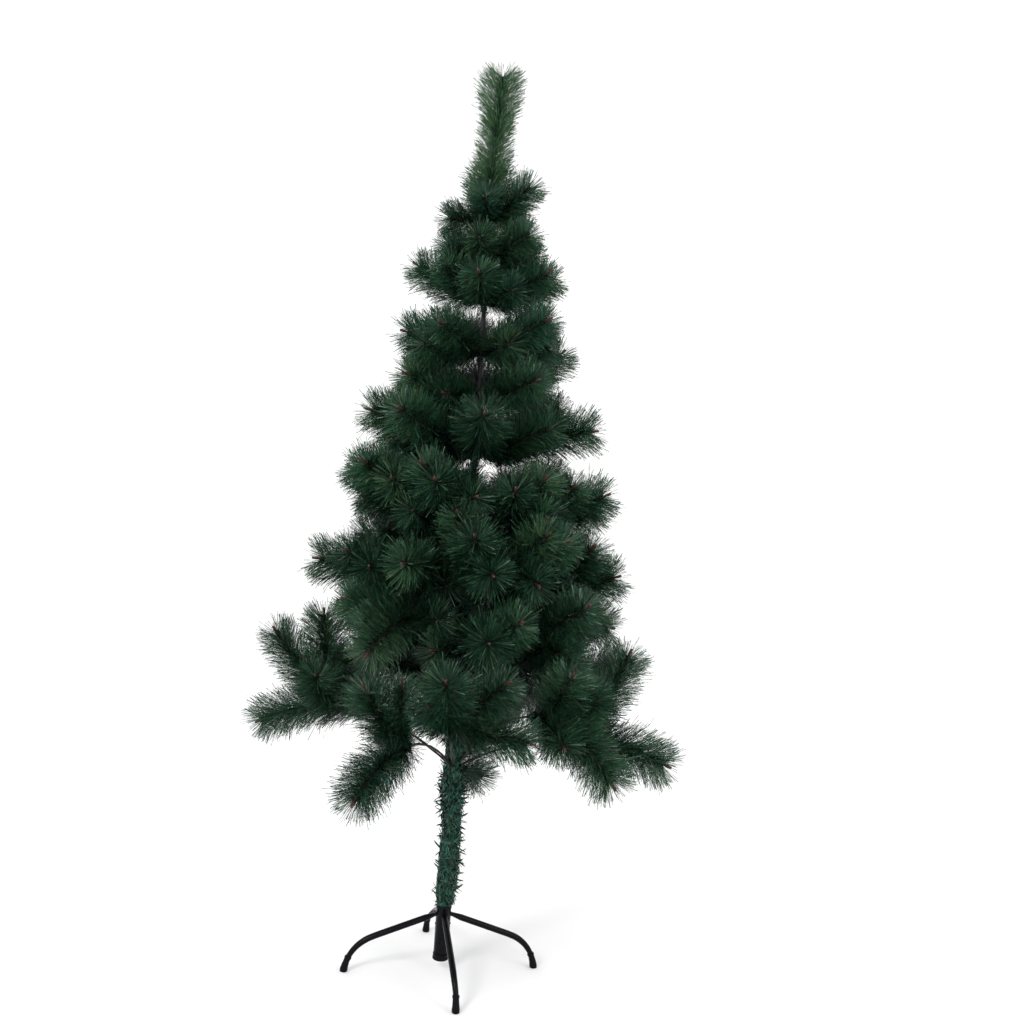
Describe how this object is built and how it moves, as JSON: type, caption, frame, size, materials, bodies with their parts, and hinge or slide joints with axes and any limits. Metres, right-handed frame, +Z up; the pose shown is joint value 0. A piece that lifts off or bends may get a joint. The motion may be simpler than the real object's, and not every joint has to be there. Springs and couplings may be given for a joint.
{
  "type": "artificial pine christmas tree",
  "caption": "Artificial pine Christmas tree: tiers of bottle-brush needle twigs on a slim pole wound with green tinsel, standing in a black steel stand with splayed, capped legs.",
  "frame": {"origin": "on the floor, on the pole's axis, at the centre of the stand's feet", "axes": "+Z up along the pole, -Y towards the viewer of the picture, +X to that viewer's right"},
  "size_m": [0.7091, 0.7511, 1.5029],
  "materials": {
    "steel": "semi-gloss black paint",
    "plastic": "satin",
    "pole": "satin grey-purple paint",
    "tinsel": "cut green film with a slight gloss",
    "wire": "dark brown wrapped wire",
    "needles": "dark green film needles, satin"
  },
  "bodies": {
    "root": {"stand_socket": "steel", "stand_plug": "plastic", "stand_leg_right": "steel", "stand_leg_back": "steel", "stand_leg_left": "steel", "stand_leg_front": "steel", "foot_cap_right": "plastic", "foot_cap_back": "plastic", "foot_cap_left": "plastic", "foot_cap_front": "plastic", "trunk_pole": "pole", "garland_lower": "tinsel", "garland_upper": "tinsel", "bough_j_left": "wire", "bough_j_front_left": "wire", "bough_j_front": "wire", "bough_j_front_right": "wire", "bough_j_right": "wire", "bough_j_back_right": "wire", "bough_j_back_left": "wire", "mass_spire": "needles", "mass_a": "needles", "mass_b": "needles", "mass_c_left": "needles", "mass_c_front": "needles", "mass_c_back": "needles", "mass_d_left": "needles", "mass_d_right": "needles", "mass_d_back": "needles", "mass_e_left": "needles", "mass_e_front": "needles", "mass_e_right": "needles", "mass_f_left": "needles", "mass_f_front": "needles", "mass_f_back": "needles", "mass_g_left": "needles", "mass_g_front": "needles", "mass_g_front_right": "needles", "mass_g_right": "needles", "mass_g_back_right": "needles", "mass_g_back_left": "needles", "mass_h_left": "needles", "mass_h_front": "needles", "mass_h_front_right": "needles", "mass_h_right": "needles", "mass_h_back_right": "needles", "mass_h_back_left": "needles", "mass_i_left": "needles", "mass_i_front_left": "needles", "mass_i_front": "needles", "mass_i_front_right": "needles", "mass_i_right": "needles", "mass_i_back": "needles", "mass_j_left": "needles", "mass_j_front_left": "needles", "mass_j_front": "needles", "mass_j_front_right": "needles", "mass_j_right": "needles", "mass_j_back_right": "needles", "mass_j_back_left": "needles"}
  },
  "joints": []
}
